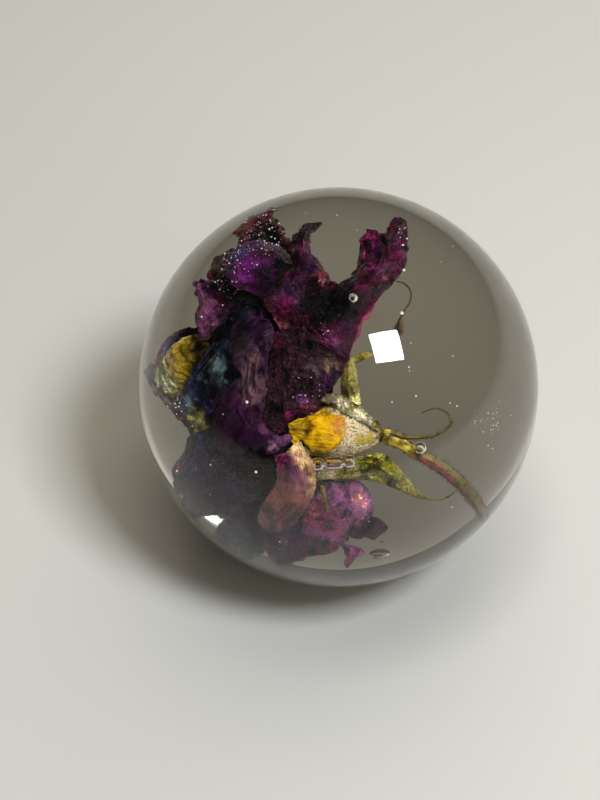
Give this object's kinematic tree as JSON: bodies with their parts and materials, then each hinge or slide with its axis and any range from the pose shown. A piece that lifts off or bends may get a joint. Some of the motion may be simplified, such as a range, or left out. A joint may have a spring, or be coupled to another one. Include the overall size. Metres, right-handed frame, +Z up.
{
  "type": "rose resin paperweight",
  "caption": "Clear resin ball with a dried rose, its sepals and a short bent stem cast inside, resting on a small ground flat; holds papers down.",
  "frame": {"origin": "centre of the ball's small ground flat, which it rests on", "axes": "+Z up from the flat through the ball's centre; the picture looks along +Y and down at 45 degrees, with +X to its right"},
  "size_m": [0.08, 0.08, 0.0784],
  "materials": {
    "resin": "clear, polished",
    "petal_magenta": "dried petal, satin",
    "petal_plum": "dried petal, satin",
    "petal_slate": "dried petal, satin",
    "petal_yellow": "dried petal, satin",
    "petal_tan": "dried petal, satin",
    "petal_inner": "dried petal, satin",
    "sepal": "dried leaf, matte",
    "stem": "dried stem, satin",
    "receptacle": "felted, matte",
    "stamen": "dried, satin"
  },
  "bodies": {
    "root": {"resin_upper": "resin", "resin_lower": "resin", "petal_violet": "petal_magenta", "petal_horn": "petal_magenta", "petal_pink": "petal_magenta", "petal_cup": "petal_magenta", "petal_scrap": "petal_magenta", "petal_spike": "petal_magenta", "petal_left": "petal_plum", "petal_plum": "petal_plum", "petal_mauve": "petal_plum", "petal_flap": "petal_plum", "petal_maroon": "petal_plum", "petal_crest": "petal_plum", "petal_slate": "petal_slate", "petal_slate_low": "petal_slate", "petal_blue": "petal_slate", "petal_rim": "petal_slate", "petal_dark": "petal_slate", "petal_yellow": "petal_yellow", "petal_gold": "petal_yellow", "petal_tan": "petal_tan", "petal_heart_near": "petal_inner", "petal_heart_far": "petal_inner", "petal_back_1": "petal_inner", "petal_back_2": "petal_inner", "petal_back_3": "petal_inner", "petal_back_4": "petal_inner", "petal_back_5": "petal_inner", "petal_back_6": "petal_inner", "petal_back_7": "petal_inner", "petal_back_8": "petal_inner", "sepal_upper": "sepal", "sepal_back": "sepal", "sepal_lower": "sepal", "sepal_tendril": "sepal", "sepal_short": "sepal", "stem": "stem", "receptacle": "receptacle", "stamen_loose": "stamen"}
  },
  "joints": []
}
